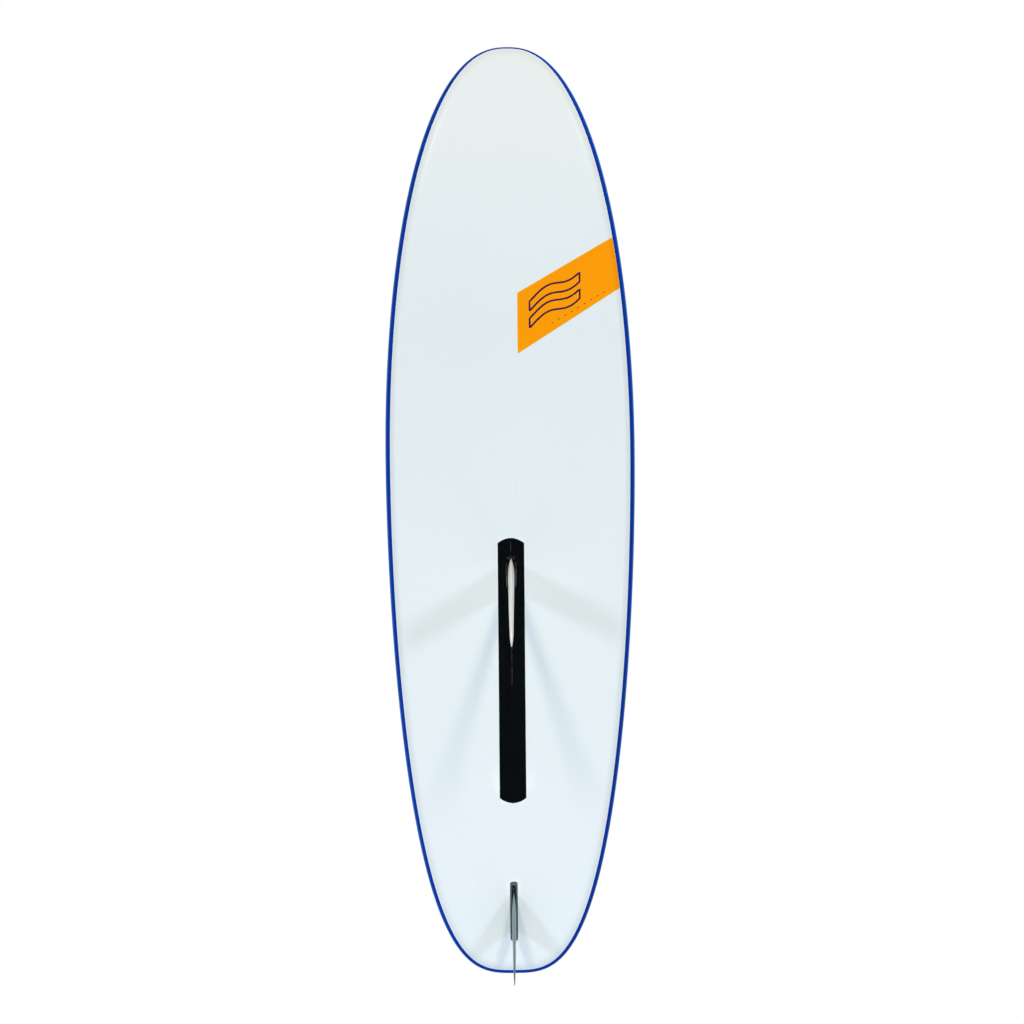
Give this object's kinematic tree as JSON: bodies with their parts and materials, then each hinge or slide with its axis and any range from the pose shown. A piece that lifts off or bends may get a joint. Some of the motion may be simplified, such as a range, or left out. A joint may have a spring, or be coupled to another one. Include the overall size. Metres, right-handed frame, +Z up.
{
  "type": "windsurf board",
  "caption": "Wide beginner's windsurf board, pale bottom and blue rails, with a pivoting daggerboard, fin, footstraps and mast track.",
  "frame": {"origin": "on the flat bottom, on the centreline at half the board's length", "axes": "+Z up out of the deck, +Y towards the tail, -Y towards the nose, +X towards the left rail as seen by a rider facing the nose"},
  "size_m": [0.7998, 3, 0.8423],
  "materials": {
    "hull_foam": "matte",
    "bottom_skin": "gloss",
    "deck_skin": "gloss",
    "case_plastic": "satin",
    "lip_rubber": "satin",
    "fitting_plastic": "satin",
    "stainless": "satin",
    "blade_laminate": "satin",
    "tread_rubber": "matte",
    "bearing_plastic": "satin",
    "fin_box_plastic": "satin",
    "fin_laminate": "satin",
    "pin_brass": "satin",
    "webbing": "matte",
    "vent_plastic": "satin",
    "deck_foam": "matte",
    "strap_cover": "matte"
  },
  "bodies": {
    "hull": {"foam_core": "hull_foam", "bottom_shell": "bottom_skin", "deck_shell": "deck_skin", "daggerboard_case": "case_plastic", "slot_lip_left": "lip_rubber", "slot_lip_right": "lip_rubber", "deck_slot_collar": "fitting_plastic", "collar_screw_1": "stainless", "collar_screw_2": "stainless", "collar_screw_3": "stainless", "collar_screw_4": "stainless", "friction_pad_left": "lip_rubber", "friction_pad_right": "lip_rubber", "pivot_bearing_left": "bearing_plastic", "pivot_bearing_right": "bearing_plastic", "pivot_axle": "stainless", "fin_box": "fin_box_plastic", "fin_blade": "fin_laminate", "fin_screw": "stainless", "fin_nut_plate": "stainless", "fin_pin": "pin_brass", "mast_track_box": "fitting_plastic", "handle_tray": "fitting_plastic", "handle_strap": "webbing", "handle_screw_1": "stainless", "handle_screw_2": "stainless", "vent_insert": "fitting_plastic", "vent_o_ring": "lip_rubber", "vent_plug": "vent_plastic", "tow_loop": "webbing", "tow_screw": "stainless", "deck_pad_left": "deck_foam", "deck_pad_right": "deck_foam", "deck_pad_rear": "deck_foam", "footstrap_front_left": "strap_cover", "footstrap_front_right": "strap_cover", "footstrap_rear_left": "strap_cover", "footstrap_rear_right": "strap_cover", "footstrap_screw_1": "stainless", "footstrap_screw_2": "stainless", "footstrap_screw_3": "stainless", "footstrap_screw_4": "stainless", "footstrap_screw_5": "stainless", "footstrap_screw_6": "stainless", "footstrap_screw_7": "stainless", "footstrap_screw_8": "stainless", "footstrap_insert_1": "bearing_plastic", "footstrap_insert_2": "bearing_plastic", "footstrap_insert_3": "bearing_plastic", "footstrap_insert_4": "bearing_plastic", "footstrap_insert_5": "bearing_plastic", "footstrap_insert_6": "bearing_plastic", "footstrap_insert_7": "bearing_plastic", "footstrap_insert_8": "bearing_plastic"},
    "daggerboard": {"daggerboard_blade": "blade_laminate", "daggerboard_pedal": "fitting_plastic", "pedal_tread": "tread_rubber", "pedal_screw_1": "stainless", "pedal_screw_2": "stainless"}
  },
  "joints": [
    {"name": "daggerboard_pivot", "type": "hinge", "parent": "hull", "child": "daggerboard", "pos_m": [0, 0.2, 0.062], "axis": [1, 0, 0], "range_deg": [0, 74.5], "deforming": ["slot_lip_left", "slot_lip_right"]}
  ]
}
